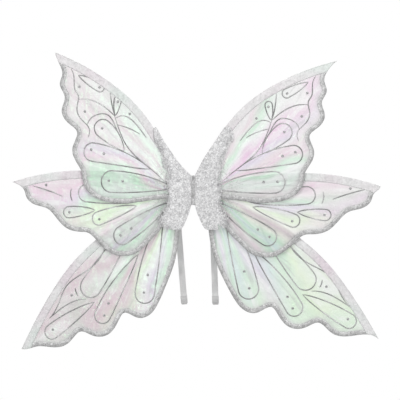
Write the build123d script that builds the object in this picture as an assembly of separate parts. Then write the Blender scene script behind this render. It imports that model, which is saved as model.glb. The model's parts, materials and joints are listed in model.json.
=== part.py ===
from build123d import *

import os
from math import asin, cos, hypot, pi, radians, sin

# Costume fairy wings, worn on the back: two mirrored halves of three iridescent film wings each.
# Millimetres. +Z is up and +Y points into the wearer's back. The origin is the centre of the back
# pad's flat rear face. Each half is drawn flat, as (u, v): u is the distance out from the centre
# seam and v is the height. Depth behind a half's fold axis is written n.

# ---------------------------------------------------------------- driving dimensions
FOLD_AT_REST = {"left": 20.0, "right": 10.0}  # how far each half is swept away from the wearer, degrees
FAN_AT_REST = {  # how far each wing is raised from its drawn position, degrees
    "left": {"upper": 0.0, "middle": 0.0, "lower": 0.0},
    "right": {"upper": 0.0, "middle": -1.4, "lower": 3.1},
}
SIDE_SIGN = {"left": -1, "right": 1}

FOLD_AXIS_U = 4.0  # the two fold axes run along the edges of the spine tape
PIVOT = (36.0, 4.0)  # (u, v) of the rivet that the three wings of a half fan about

FILM = 0.4
PRINT = 0.4  # raised glitter print: edging and veins
SCRAP = 5.0  # cubic millimetres: scraps of print smaller than this are left off
DOT_RADIUS, DOT_HEIGHT = 3.2, 0.8
ROD_RADIUS = 1.2
POCKET_WIDTH, POCKET_DEPTH = 14.0, 3.4
POCKET_BORE = ROD_RADIUS + 0.1
EDGE_TAPE_WIDTH = 20.0
EDGING_WIDTH = 11.0
VEIN_WIDTH = 2.6
ROD_INSET = 8.0  # from the leading edge to the rod's centre
TIP_CLEARANCE = 24.0  # the pocket stops this far before the tip

EYE_RADIUS, EYE_DEPTH = 6.0, 2.8
RIVET_RADIUS, RIVET_HEAD_RADIUS, RIVET_HEAD = 2.5, 5.5, 1.3
EYE_BORE = RIVET_RADIUS + 0.06

LAYER_PITCH = 5.5
FRONT_OF_FILM = {"upper": 3.2, "middle": 3.2 + LAYER_PITCH, "lower": 3.2 + 2 * LAYER_PITCH}  # n
ROD_BEHIND_FILM = FILM + POCKET_DEPTH / 2
COVER = 1.0
SPINE_TAPE = 1.4
ROOT_PLATE_N, ROOT_PLATE = 18.9, 2.0
ROOT_PLATE_WIDTH, ROOT_PLATE_HEIGHT, ROOT_PLATE_CORNER = 46.0, 60.0, 9.0
CORE_INNER_U, CORE_WIDTH, CORE_HEIGHT = 6.0, 10.0, 50.0
BACK_PLATE_N, BACK_PLATE = 21.8, 2.0
BACK_PLATE_WIDTH, BACK_PLATE_CORNER = 116.0, 14.0
SPINE_BLOCK = 6.0
EAR, EAR_HEIGHT, EAR_GAP, EAR_REACH = 3.0, 8.0, 1.7, 2.6  # the strap bars' ears
PAD_DEPTH, PAD_WIDTH, PAD_HEIGHT, PAD_CORNER = 7.0, 60.0, 64.0, 16.0
FOLD_AXIS_Y = -(BACK_PLATE_N + BACK_PLATE + PAD_DEPTH)
ORIGIN_V = 8.0  # the height of the pad's centre in a half's drawing

STRAP_WIDTH, STRAP = 15.0, 1.2
STRAP_U, STRAP_BAR_Z = 44.0, 24.0
STRAP_BOTTOM_Z = -272.0
STRAP_TURN = 12.0  # inner radius of the loop's lower end
STRAP_TOP_TURN = 2.4  # inner radius where the loop passes over its bar
STRAP_BAR_RADIUS = 1.5
STRAP_BAR_Y = -2.6
STRAP_LEAN = {"left": 4.5, "right": 2.0}  # both hang a little towards +X, degrees
STRAP_BACK = 2.0  # the loop hangs this far behind plumb, degrees

# ---------------------------------------------------------------- the wings' drawings
# Leading edges run from the root to the tip as tangent arcs through these points, starting at the
# stated heading. Trailing edges run from the tip back to the root as one smooth scalloped curve.
# Both halves are cut from one drawing, but the right half's wires are bent to their own shape: its
# upper leading edge is bowed further in, and its wings are stretched by a few percent.
LEADING = {
    "upper": (46.4, [(8, 47), (100, 162), (180, 248), (350, 341)]),
    "middle": (15.6, [(45, 25), (250, 58), (455, 31)]),
    "lower": (-18.0, [(50, -5), (242, -107), (343, -215), (430, -368)]),
}
BOWED_UPPER = (62.0, [(6, 52), (83, 170), (184, 257), (351, 322)])
STRETCH = {  # along u, along v
    "left": {"upper": (1, 1), "middle": (1, 1), "lower": (1, 1)},
    "right": {"upper": (0.965, 0.945), "middle": (1.03, 1), "lower": (1.02, 0.98)},
}
TRAILING = {
    "upper": [
        (340, 316), (331, 289), (337, 265), (325, 235), (332, 205), (318, 174), (294, 151),
        (305, 113), (292, 73), (283, 58), (277, 27), (253, -3), (215, -17), (170, -20), (110, -13),
        (62, -8),
    ],
    "middle": [
        (437, 23), (426, 13), (420, -4), (400, -22), (366, -33), (346, -52), (320, -78),
        (285, -88), (265, -90), (243, -108), (222, -128), (200, -142), (172, -146), (145, -141),
        (112, -115), (86, -90), (62, -58),
    ],
    "lower": [
        (411, -367), (392, -362), (355, -364), (311, -354), (280, -327), (250, -337), (214, -336),
        (187, -306), (171, -283), (135, -295), (100, -283), (80, -253), (57, -202), (39, -150),
        (31, -100), (29, -60),
    ],
}
ROOT_EDGE = {  # the film's hidden inner end, clear of the rivet
    "upper": [(56, 20), (40, 62)],
    "middle": [(54, -30), (58, 10)],
    "lower": [(38, -30), (56, -16)],
}
POCKET_START = {"upper": 60.0, "middle": 26.0, "lower": 26.0}  # along the rod, from the rivet

# A petal is a teardrop loop of print: (point, round end, radius of the end, sideways bend).
PETALS = {
    "upper": [
        ((174, 105), (246, 172), 22, 4.5),
        ((107, 62), (276, 106), 22, 6),
        ((50, 18), (232, 33), 26, 3),
        ((197, 190), (189, 238), 9, 0),
        ((291, 287), (226, 253), 11, 0),
    ],
    "middle": [
        ((130, -14), (288, 8), 21, 0),
        ((246, -36), (326, -42), 13.5, 0),
        ((140, -26), (252, -62), 16, 2),
        ((52, -16), (196, -108), 22, -1),
    ],
    "lower": [
        ((150, -68), (270, -241), 26, 0),
        ((134, -142), (234, -306), 21, 5),
        ((72, -40), (122, -260), 25, 4),
        ((246, -256), (368, -337), 18, 1),
    ],
}
# A vein is a single line of print through a few points.
VEINS = {
    "upper": [
        [(71, 32), (120, 73), (166, 116), (186, 154), (198, 189)],
        [(198, 189), (227, 213), (248, 224), (289, 229)],
        [(198, 189), (207, 225), (210, 260)],
        [(267, 169), (257, 185), (237, 194), (218, 193), (202, 176), (190, 151)],
        [(196, 184), (176, 190), (150, 176), (118, 138)],
        [(190, 168), (162, 160), (134, 146)],
        [(309, 301), (301, 274), (299, 252), (291, 238), (294, 210), (286, 185), (267, 166), (266, 138)],
    ],
    "middle": [
        [(404, 22), (366, 11), (329, -3)],
        [(306, 15), (308, 1), (304, -14)],
    ],
    "lower": [
        [(221, -128), (275, -187), (320, -222), (334, -253), (360, -295)],
        [(360, -295), (329, -271), (294, -253), (268, -249)],
        [(295, -223), (293, -232), (288, -241)],
    ],
}
DOTS = {
    "upper": [
        (288, 259), (274, 200), (190, 224), (230, 160), (258, 109), (226, 99), (213, 34), (178, 33),
        (160, 195), (237, 258),
    ],
    "middle": [(311, -41), (235, -58), (182, -97), (154, -80), (370, 24)],
    "lower": [(210, -260), (221, -289), (110, -192), (120, -234), (351, -322), (304, -240)],
}

# The glitter fabric that covers a half's root: its top edge, out from the seam beside the wing's
# leading edge, and then the rest, round to the seam's bottom.
COVER_TOP = {
    "left": [(8, 50), (31, 72), (55, 103), (80, 139), (97, 163)],
    "right": [(7, 52), (22, 81), (41, 111), (62, 141), (85, 166)],
}
COVER_REST = [
    (99, 140), (88, 104), (78, 70), (72, 44), (76, 18), (74, -8), (80, -34), (90, -64), (76, -82),
    (52, -84), (31, -82), (20, -66), (9, -40),
]
SEAM_TOP, SEAM_BOTTOM = 47.0, -24.0
SEAM_GAP = 0.7


# ---------------------------------------------------------------- flat drawing helpers
def heading(degrees_up):
    return (cos(radians(degrees_up)), sin(radians(degrees_up)))


def arc_chain(start_heading, points):
    """Tangent arcs through the points, as a list of edges."""
    edges, tangent = [], Vector(*heading(start_heading))
    for a, b in zip(points, points[1:]):
        edges.append(TangentArc(a, b, tangent=tangent))
        tangent = edges[-1] % 1
    return edges


def beside(edge, t, distance):
    """The point at t of an edge, moved to the right of its direction."""
    p, d = edge @ t, (edge % t).normalized()
    return (p.X + d.Y * distance, p.Y - d.X * distance)


def offset_arcs(edges, distance):
    """The same chain of arcs, moved sideways: positive is to the right."""
    return [ThreePointArc(*(beside(e, t, distance) for t in (0, 0.5, 1))) for e in edges]


def face_of(*edges):
    return make_face(list(edges))


def band(edges, near, far):
    """The strip between two sideways offsets of a chain of arcs."""
    a, b = offset_arcs(edges, near), offset_arcs(edges, far)
    return face_of(*a, *b, Line(a[0] @ 0, b[0] @ 0), Line(a[-1] @ 1, b[-1] @ 1))


def stroke(points, width):
    """A line of print along a smooth curve, narrowing at both ends."""
    line = Spline(*points)
    steps = 4 * len(points)
    half = [width / 2 * (0.35 + 0.65 * sin(pi * i / steps) ** 0.5) for i in range(steps + 1)]
    right = Spline(*(beside(line, i / steps, half[i]) for i in range(steps + 1)))
    left = Spline(*(beside(line, i / steps, -half[i]) for i in range(steps + 1)))
    return face_of(right, left, Line(right @ 0, left @ 0), Line(right @ 1, left @ 1))


def petal_outline(point, end, radius, bend, grow):
    """A teardrop's outline, its half width grown by a given amount: a sharp point and a round end."""
    length = hypot(end[0] - point[0], end[1] - point[1])
    along = ((end[0] - point[0]) / length, (end[1] - point[1]) / length)
    fullness, straight = 0.75, length - radius
    first = 0.0 if grow > 0 else 2 / pi * asin((-grow / radius) ** (1 / fullness))

    def place(s, across):
        share = min(max(s / length, 0.0), 1.0)
        across += 4 * bend * share * (1 - share)
        return (
            point[0] + along[0] * s - along[1] * across,
            point[1] + along[1] * s + along[0] * across,
        )

    side, steps = [], 6
    for i in range(1, steps + 1):
        x = first + (1 - first) * i / steps
        side.append((straight * x, radius * sin(pi / 2 * x) ** fullness + grow))
    apex = place(straight * first, 0)
    out = Spline(apex, *(place(s, w) for s, w in side))
    back = Spline(*(place(s, -w) for s, w in reversed(side)), apex)
    return face_of(out, ThreePointArc(out @ 1, place(length + grow, 0), back @ 0), back)


def petal(point, end, radius, bend):
    outer = petal_outline(point, end, radius, bend, VEIN_WIDTH / 2)
    return outer - petal_outline(point, end, radius, bend, -VEIN_WIDTH / 2)


def lift(face, front_n, depth):
    """A flat face as a solid from depth n = front_n to front_n + depth."""
    return Pos(0, 0, -front_n) * extrude(face, amount=-depth)


# ---------------------------------------------------------------- one wing
def leading_edge(side, name):
    bowed = side == "right" and name == "upper"
    return arc_chain(*(BOWED_UPPER if bowed else LEADING[name]))


def stretched(side, name, points):
    along_u, along_v = STRETCH[side][name]
    return [(u * along_u, v * along_v) for u, v in points]


def rod_path(side, name):
    """From the rivet, along the leading edge, to near the tip."""
    edges = offset_arcs(leading_edge(side, name), ROD_INSET)
    root = edges[0]
    join = {"upper": 0.42, "middle": 0.12, "lower": 0.10}[name]
    first = root.trim(join, 1)
    curve_in = TangentArc(first @ 0, PIVOT, tangent=-(first % 0))
    back = ThreePointArc(curve_in @ 1, curve_in @ 0.5, curve_in @ 0)
    last = edges[-1].trim(0, 1 - TIP_CLEARANCE / edges[-1].length)
    return [back, first, *edges[1:-1], last]


def film_face(side, name):
    lead = leading_edge(side, name)
    start = lead[0].trim({"upper": 0.30, "middle": 0.08, "lower": 0.04}[name], 1)
    tip = lead[-1] @ 1
    scallops = stretched(side, name, TRAILING[name])
    trailing = Spline((tip.X, tip.Y), *scallops)
    root = Polyline(scallops[-1], *ROOT_EDGE[name], start @ 0)
    return face_of(start, *lead[1:], trailing, *root.edges()), trailing, [start, *lead[1:]]


def edging_face(film, trailing, tape):
    """The glitter edging: the strip of film inside the scalloped edge."""
    steps = 90
    inner = Spline(*(beside(trailing, i / steps, EDGING_WIDTH) for i in range(steps + 1)))
    strip = face_of(trailing, inner, Line(trailing @ 0, inner @ 0), Line(trailing @ 1, inner @ 1))
    return (strip & film) - tape


def rod(side, name, n):
    path = Wire(rod_path(side, name))
    start = path ^ 0
    bar = sweep(start * Circle(ROD_RADIUS), path=path)
    eye = Pos(*PIVOT, 0) * Cylinder(EYE_RADIUS, EYE_DEPTH)
    bore = Pos(*PIVOT, 0) * Cylinder(EYE_BORE, 3 * EYE_DEPTH)
    return Pos(0, 0, -n) * (bar + eye - bore)


def pocket(side, name, front_n):
    """The fabric pocket behind the film that holds the rod."""
    path = rod_path(side, name)
    whole = Wire(path)
    cut = POCKET_START[name]
    edges = []
    for e in path:
        if cut >= e.length:
            cut -= e.length
            continue
        edges.append(e.trim(cut / e.length, 1) if cut > 0 else e)
        cut = 0
    strip = band(edges, -POCKET_WIDTH / 2, POCKET_WIDTH / 2)
    body = lift(strip, front_n + FILM, POCKET_DEPTH)
    bore = Pos(0, 0, -front_n - ROD_BEHIND_FILM) * sweep((whole ^ 0) * Circle(POCKET_BORE), path=whole)
    return body - bore


def printed(face, front_n):
    """A raised print in front of the film, without the scraps that trimming leaves."""
    whole = lift(face, front_n - PRINT, PRINT)
    return Compound([s for s in whole.solids() if s.volume > SCRAP])


def dots(places, front_n):
    cone = Cone(DOT_RADIUS, DOT_RADIUS * 0.62, DOT_HEIGHT)
    z = -front_n + DOT_HEIGHT / 2
    return Compound([Pos(u, v, z) * cone for u, v in places])


def print_lines(side, name):
    """The veins and petals of one wing, as flat faces."""
    faces = []
    for point, end, radius, bend in PETALS[name]:
        faces.append(petal(*stretched(side, name, [point, end]), radius, bend))
    for points in VEINS[name]:
        faces.append(stroke(stretched(side, name, points), VEIN_WIDTH))
    return faces


def wing(side, name):
    """Every piece of one wing, drawn flat, by its short name."""
    n = FRONT_OF_FILM[name]
    film, trailing, lead = film_face(side, name)
    dot_places = stretched(side, name, DOTS[name])
    tape = band(lead, 0, EDGE_TAPE_WIDTH) & film
    edging = edging_face(film, trailing, tape)
    veins = ((Sketch() + print_lines(side, name)) & film) - tape - edging
    for u, v in dot_places:
        veins -= Pos(u, v) * Circle(DOT_RADIUS + 0.3)
    return {
        "film": lift(film, n, FILM),
        "edge_tape": lift(tape, n - PRINT, PRINT),
        "edging": printed(edging, n),
        "veins": printed(veins, n),
        "dots": dots(dot_places, n),
        "rod_pocket": pocket(side, name, n),
        "rod": rod(side, name, n + ROD_BEHIND_FILM),
    }


# ---------------------------------------------------------------- the root of a half
def root_pieces(side):
    first, last = (FOLD_AXIS_U + SEAM_GAP, SEAM_TOP), (FOLD_AXIS_U + SEAM_GAP, SEAM_BOTTOM)
    outline = Spline(first, *COVER_TOP[side], *COVER_REST, last)
    cover = face_of(outline, Line(last, first))
    plate = Pos(*PIVOT) * RectangleRounded(ROOT_PLATE_WIDTH, ROOT_PLATE_HEIGHT, ROOT_PLATE_CORNER)
    plate -= Pos(*PIVOT) * Circle(RIVET_RADIUS)
    core = Pos(CORE_INNER_U + CORE_WIDTH / 2, PIVOT[1]) * Rectangle(CORE_WIDTH, CORE_HEIGHT)
    rods = {name: FRONT_OF_FILM[name] + ROD_BEHIND_FILM for name in FRONT_OF_FILM}
    head_back = rods["upper"] - EYE_DEPTH / 2 - 0.1
    shank_end = ROOT_PLATE_N + ROOT_PLATE
    rivet = lift(Pos(*PIVOT) * Circle(RIVET_HEAD_RADIUS), head_back - RIVET_HEAD, RIVET_HEAD)
    rivet += lift(Pos(*PIVOT) * Circle(RIVET_RADIUS), head_back, shank_end - head_back)
    washer = Pos(*PIVOT) * (Circle(EYE_RADIUS - 1) - Circle(EYE_BORE))
    stops = [rods["upper"], rods["middle"], rods["lower"]]
    gaps = [(a + EYE_DEPTH / 2 + 0.1, b - EYE_DEPTH / 2 - 0.1) for a, b in zip(stops, stops[1:])]
    gaps.append((stops[-1] + EYE_DEPTH / 2 + 0.1, ROOT_PLATE_N))
    return {
        "root_cover": lift(cover, -COVER / 2, COVER),
        "root_core": lift(core, COVER / 2, ROOT_PLATE_N - COVER / 2),
        "root_plate": lift(plate, ROOT_PLATE_N, ROOT_PLATE),
        "pivot_rivet": rivet,
        "spacers": Compound([lift(washer, a, b - a) for a, b in gaps]),
    }


def place_half(shape, side, fan=0.0):
    """From the flat drawing to its place on the wearer."""
    sign = SIDE_SIGN[side]
    shape = Pos(*PIVOT, 0) * Rot(0, 0, fan) * Pos(-PIVOT[0], -PIVOT[1], 0) * shape
    if side == "left":
        shape = mirror(shape, about=Plane.YZ)
    shape = Pos(-sign * FOLD_AXIS_U, 0, -ORIGIN_V) * Rot(90, 0, 0) * shape
    turn = Rot(0, 0, -sign * FOLD_AT_REST[side])
    return Pos(sign * FOLD_AXIS_U, FOLD_AXIS_Y, 0) * turn * shape


# ---------------------------------------------------------------- the centre
def strap_ears(plate_back):
    """Two ears beside each strap, that its bar runs through."""
    ears = []
    reach = STRAP_BAR_Y + EAR_REACH - plate_back
    for sign in SIDE_SIGN.values():
        for step in (-1, 1):
            x = sign * STRAP_U + step * ((STRAP_WIDTH + EAR) / 2 + EAR_GAP)
            ears.append(Pos(x, plate_back + reach / 2, STRAP_BAR_Z) * Box(EAR, reach, EAR_HEIGHT))
    return ears


def centre_pieces():
    tall = SEAM_TOP - SEAM_BOTTOM
    middle_z = (SEAM_TOP + SEAM_BOTTOM) / 2 - ORIGIN_V
    tape_outline = SlotOverall(2 * FOLD_AXIS_U, SPINE_TAPE)
    tape = Pos(0, FOLD_AXIS_Y, middle_z) * extrude(tape_outline, tall / 2, both=True)
    front = FOLD_AXIS_Y + SPINE_TAPE / 2
    back = FOLD_AXIS_Y + BACK_PLATE_N
    block = Pos(0, (front + back) / 2, middle_z) * Box(SPINE_BLOCK, back - front, tall)
    plate_back = back + BACK_PLATE
    outline = Pos(0, middle_z) * RectangleRounded(BACK_PLATE_WIDTH, tall, BACK_PLATE_CORNER)
    plate = Pos(0, plate_back, 0) * Rot(90, 0, 0) * extrude(outline, amount=BACK_PLATE)
    bar = Rot(0, 90, 0) * Cylinder(STRAP_BAR_RADIUS, STRAP_WIDTH + 2 * (EAR + EAR_GAP))
    bars = Compound([Pos(s * STRAP_U, STRAP_BAR_Y, STRAP_BAR_Z) * bar for s in SIDE_SIGN.values()])
    plate = plate + strap_ears(plate_back) - bars
    pad_outline = Rot(90, 0, 0) * RectangleRounded(PAD_WIDTH, PAD_HEIGHT, PAD_CORNER)
    pad = Pos(0, -PAD_DEPTH / 2, 0) * extrude(pad_outline, PAD_DEPTH / 2, both=True)
    return {
        "spine_tape": tape,
        "spine_block": block,
        "back_plate": plate,
        "back_pad": pad,
        "strap_bars": bars,
    }


def loop_face(grow):
    """A hanging loop seen from its side: the hull of a small top turn and a wide bottom turn."""
    drop = STRAP_BAR_Z - STRAP_BOTTOM_Z - STRAP - STRAP_TURN
    top, bottom = STRAP_TOP_TURN + grow, STRAP_TURN + grow
    slope = asin((bottom - top) / drop)
    c, s = cos(slope), sin(slope)
    right = Line((top * c, top * s), (bottom * c, -drop + bottom * s))
    left = Line((-bottom * c, -drop + bottom * s), (-top * c, top * s))
    over = ThreePointArc(left @ 1, (0, top), right @ 0)
    under = ThreePointArc(right @ 1, (0, -drop - bottom), left @ 0)
    return face_of(over, right, under, left)


def strap(side):
    """A closed loop of elastic webbing, hanging from its bar."""
    flat = loop_face(STRAP) - loop_face(0)
    webbing = Rot(0, 0, 90) * Rot(90, 0, 0) * extrude(flat, STRAP_WIDTH / 2, both=True)
    lean = Rot(0, -STRAP_LEAN[side], 0) * Rot(STRAP_BACK, 0, 0)
    return Pos(SIDE_SIGN[side] * STRAP_U, STRAP_BAR_Y, STRAP_BAR_Z) * lean * webbing


# ---------------------------------------------------------------- write every piece
os.makedirs("parts", exist_ok=True)
pieces = dict(centre_pieces())
for side in SIDE_SIGN:
    pieces[f"{side}_strap"] = strap(side)
    for part, shape in root_pieces(side).items():
        pieces[f"{side}_{part}"] = place_half(shape, side)
    for name in FRONT_OF_FILM:
        for part, shape in wing(side, name).items():
            pieces[f"{side}_{name}_{part}"] = place_half(shape, side, FAN_AT_REST[side][name])
for name, shape in pieces.items():
    export_step(shape, f"parts/{name}.step")
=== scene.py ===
"""Fairy wings: six wings of crinkled iridescent film in two halves, a padded back and two elastic loops.

Metres, in the part's own frame: +Z up, +Y into the wearer's back. Each half is flat, so its pieces are
laid out as (u, v, n): u out from the half's fold axis, v up, and n the depth behind that axis.
"""

import json
import math

import bpy
import numpy as np
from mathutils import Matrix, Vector, geometry, kdtree


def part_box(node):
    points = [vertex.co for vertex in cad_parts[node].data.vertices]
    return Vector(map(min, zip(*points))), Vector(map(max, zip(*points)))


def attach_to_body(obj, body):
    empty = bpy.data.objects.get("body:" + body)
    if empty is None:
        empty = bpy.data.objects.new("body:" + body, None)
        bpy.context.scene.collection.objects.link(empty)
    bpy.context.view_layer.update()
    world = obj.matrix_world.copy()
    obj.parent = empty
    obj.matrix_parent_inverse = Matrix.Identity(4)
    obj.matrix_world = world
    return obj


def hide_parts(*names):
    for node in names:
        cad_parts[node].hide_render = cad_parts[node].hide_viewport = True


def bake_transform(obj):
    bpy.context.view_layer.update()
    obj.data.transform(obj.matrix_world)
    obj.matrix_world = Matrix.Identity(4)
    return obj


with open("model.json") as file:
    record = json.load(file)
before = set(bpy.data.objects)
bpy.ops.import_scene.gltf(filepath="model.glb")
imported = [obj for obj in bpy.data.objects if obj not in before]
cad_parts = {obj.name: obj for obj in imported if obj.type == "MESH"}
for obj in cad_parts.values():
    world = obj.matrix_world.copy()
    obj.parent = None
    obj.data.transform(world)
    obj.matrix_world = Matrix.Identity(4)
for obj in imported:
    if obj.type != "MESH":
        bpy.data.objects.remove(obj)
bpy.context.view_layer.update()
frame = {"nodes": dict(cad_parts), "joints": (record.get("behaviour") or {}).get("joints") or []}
MM = 0.001

SIDES = {"left": -1, "right": 1}
WINGS = ("upper", "middle", "lower")
JOINTS = {joint["name"]: joint for joint in frame["joints"]}
RANDOM = np.random.default_rng(7)
JITTER = 0.18  # how far a mesh point is moved off its even grid, as a share of the spacing

FILM_GRID = 2.3 * MM  # spacing of a film's mesh
BAND = 3 * MM  # height of the bands of rows that are tested together
BACKWARD, FORWARD = 2.4, 1.1  # how far creases reach behind and in front of a wing's own depth, mm
FAN_SCALE = 0.25  # metres of the fan layout for each radian round the rivet
CREASE = {"upper": 3.1, "middle": 17.7, "lower": 42.3}  # where each wing's creases are cut from the noise


# ------------ a half's flat layout
class Half:
    """One half of the wings, with its points turned between the part's frame and the flat layout."""

    def __init__(self, side):
        self.side, self.sign = side, SIDES[side]
        fold = Vector(JOINTS[f"{side}_fold"]["pos_m"])
        fan = JOINTS[f"{side}_upper_fan"]
        self.n = -self.sign * np.array(fan["axis"])
        self.n /= np.linalg.norm(self.n)
        self.u = self.sign * np.array([self.n[1], -self.n[0], 0.0])
        self.v = np.array([0.0, 0.0, 1.0])
        self.origin = np.array([fold.x, fold.y, 0.0])
        self.pivot = self.flat(np.array([fan["pos_m"]]))[0]

    def flat(self, points):
        offset = points - self.origin
        return np.stack([offset @ self.u, offset @ self.v, offset @ self.n], axis=1)

    def placed(self, flat):
        return self.origin + flat[:, :1] * self.u + flat[:, 1:2] * self.v + flat[:, 2:3] * self.n

    def wound(self, faces):
        """Faces turned over on the left half, whose layout is mirrored."""
        return faces if self.sign > 0 else reverse(faces)


HALVES = {side: Half(side) for side in SIDES}


def node_points(name):
    mesh = frame["nodes"][name].data
    points = np.zeros(len(mesh.vertices) * 3)
    mesh.vertices.foreach_get("co", points)
    return points.reshape(-1, 3)


def border_edges(faces):
    """The edges, each with its direction, that only one face has."""
    edges = dict.fromkeys(edge for face in faces for edge in zip(face, face[1:] + face[:1]))
    return [edge for edge in edges if edge[::-1] not in edges]


def front_outline(half, name):
    """The boundary of a flat node's front face: its points, its edges and its depth."""
    mesh = frame["nodes"][name].data
    flat = half.flat(node_points(name))
    depth = flat[:, 2].min()
    keys, number = {}, []
    for u, v, n in flat:
        key = (round(u, 6), round(v, 6)) if n < depth + 0.02 * MM else None
        number.append(None if key is None else keys.setdefault(key, len(keys)))
    faces = [[number[i] for i in face.vertices] for face in mesh.polygons]
    return np.array(list(keys)), border_edges(face for face in faces if None not in face), depth


def cut_edges(points, edges, spacing):
    """The outline again, with its long edges cut to the mesh's spacing."""
    used = sorted({i for edge in edges for i in edge})
    number = {old: new for new, old in enumerate(used)}
    out, cuts = [tuple(points[i]) for i in used], []
    for a, b in edges:
        start, end = points[a], points[b]
        pieces = max(1, round(np.linalg.norm(end - start) / spacing))
        last = number[a]
        for i in range(1, pieces):
            out.append(tuple(start + (end - start) * i / pieces))
            cuts.append((last, len(out) - 1))
            last = len(out) - 1
        cuts.append((last, number[b]))
    return np.array(out), cuts


def tree_of(targets):
    """A tree of points of the flat layout, for finding the nearest."""
    tree = kdtree.KDTree(len(targets))
    for i, target in enumerate(targets):
        tree.insert((target[0], target[1], 0), i)
    tree.balance()
    return tree


def nearest(tree, points):
    """Which of the tree's points is nearest to each point, and how far it is."""
    found = [tree.find((p[0], p[1], 0)) for p in points]
    return [f[1] for f in found], np.array([f[2] for f in found])


def distances(points, targets):
    """How far each point is from the nearest target."""
    return nearest(tree_of(targets), points)[1]


def inside(points, outline, edges):
    """Which points are inside the outline, by counting the edges that a ray crosses, band by band."""
    a, b = outline[[e[0] for e in edges]], outline[[e[1] for e in edges]]
    low, high = np.minimum(a[:, 1], b[:, 1]), np.maximum(a[:, 1], b[:, 1])
    bands = np.floor(points[:, 1] / BAND)
    result = np.zeros(len(points), bool)
    for band in np.unique(bands):
        here = np.flatnonzero(bands == band)
        near = (low <= (band + 1) * BAND) & (high >= band * BAND) & (low < high)
        p, start, end = points[here, None], a[None, near], b[None, near]
        crosses = (start[..., 1] > p[..., 1]) != (end[..., 1] > p[..., 1])
        share = (p[..., 1] - start[..., 1]) / (end[..., 1] - start[..., 1])
        at = start[..., 0] + share * (end[..., 0] - start[..., 0])
        result[here] = (crosses & (at > p[..., 0])).sum(axis=1) % 2 == 1
    return result


def fine_flat(half, name, spacing):
    """A flat node's front face as an even fine mesh: its points, triangles, boundary edges and depth."""
    outline, edges, depth = front_outline(half, name)
    outline, edges = cut_edges(outline, edges, spacing)
    low, high = outline.min(axis=0), outline.max(axis=0)
    rows = np.arange(low[1], high[1], spacing * math.sqrt(3) / 2)
    columns = np.arange(low[0], high[0], spacing)
    grid = [(u + (i % 2) * spacing / 2, v) for i, v in enumerate(rows) for u in columns]
    grid = np.array(grid) + RANDOM.uniform(-JITTER, JITTER, (len(grid), 2)) * spacing
    grid = grid[inside(grid, outline, edges)]
    points = np.concatenate([outline, grid[distances(grid, outline) > 0.55 * spacing]])
    found = geometry.delaunay_2d_cdt([Vector(p) for p in points], edges, [], 0, 1e-7)
    points = np.array([tuple(p) for p in found[0]])
    triangles = np.array([tuple(f) for f in found[2]])
    middles = points[triangles].mean(axis=1)
    triangles = triangles[inside(middles, outline, edges)]
    used, triangles = np.unique(triangles, return_inverse=True)
    points, triangles = points[used], triangles.reshape(-1, 3)
    return points, triangles, border_edges(triangles.tolist()), depth


# ------------ making pieces
def new_piece(name, points, faces, flat=None):
    """A smooth-shaded mesh, with a UV map of its flat layout in metres that its materials follow."""
    mesh = bpy.data.meshes.new(name)
    mesh.from_pydata([tuple(p) for p in points], [], [tuple(f) for f in faces])
    mesh.validate()
    mesh.update()
    mesh.shade_smooth()
    piece = bpy.data.objects.new(name, mesh)
    bpy.context.scene.collection.objects.link(piece)
    if flat is not None:
        add_uv(piece, "flat", *flat.T[:2])
    return piece


def add_uv(piece, name, u, v=0.0):
    """A UV map of the given values at each point."""
    values = np.column_stack(np.broadcast_arrays(u, v))
    corners = np.zeros(len(piece.data.loops), int)
    piece.data.loops.foreach_get("vertex_index", corners)
    piece.data.uv_layers.new(name=name).data.foreach_set("uv", values[corners].ravel())


def slab_piece(name, half, points, triangles, border, front, back):
    """A closed solid between a front depth and a back depth at each point."""
    count = len(points)
    flat = np.concatenate([np.column_stack([points, front]), np.column_stack([points, back])])
    walls = [(b, a, a + count, b + count) for a, b in border]
    faces = [*triangles, *(triangles[:, ::-1] + count), *walls]
    return new_piece(name, half.placed(flat), half.wound(faces), flat)


def attach(piece, body, material):
    """Give a piece its material and the body that it rides on."""
    piece.data.materials.append(material)
    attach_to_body(piece, body)
    return piece


def finish_piece(piece, body, slot, material, *replaced):
    """The same, for a piece that stands for CAD nodes."""
    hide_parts(*replaced)
    return attach(piece, body, material)


def turns(count):
    """Even angles round a circle."""
    return [2 * math.pi * k / count for k in range(count)]


def ring_faces(first, rings, sides, loop=False):
    """Faces between rings of points that follow one another, capped at both ends or closed to a loop."""
    faces = []
    for row in range(rings if loop else rings - 1):
        here, after = first + row * sides, first + (row + 1) % rings * sides
        for k in range(sides):
            beside = (k + 1) % sides
            faces.append((here + k, here + beside, after + beside, after + k))
    if not loop:
        faces.append(tuple(first + k for k in reversed(range(sides))))
        faces.append(tuple(first + (rings - 1) * sides + k for k in range(sides)))
    return faces


def reverse(faces):
    return [face[::-1] for face in faces]


def ease(x):
    """A smooth step from 0 to 1."""
    x = np.clip(x, 0, 1)
    return x * x * (3 - 2 * x)


# ------------ noise
HASH = np.random.default_rng(11).permutation(256)
SLOPES = np.random.default_rng(12).normal(size=(256, 3))
SLOPES /= np.linalg.norm(SLOPES, axis=1)[:, None]


def gradient_noise(x, y, z):
    """Smooth noise from about -0.7 to 0.7 at arrays of places."""
    place = np.stack(np.broadcast_arrays(*(np.asarray(a, float) for a in (x, y, z))), axis=-1)
    cell = np.floor(place).astype(int)
    part = place - cell
    weight = part * part * part * (part * (part * 6 - 15) + 10)
    total = np.zeros(place.shape[:-1])
    for corner in np.ndindex(2, 2, 2):
        index = cell + corner
        code = HASH[(HASH[(HASH[index[..., 0] & 255] + index[..., 1]) & 255] + index[..., 2]) & 255]
        share = np.where(np.array(corner) == 1, weight, 1 - weight).prod(axis=-1)
        total += share * (SLOPES[code] * (part - corner)).sum(axis=-1)
    return total


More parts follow.
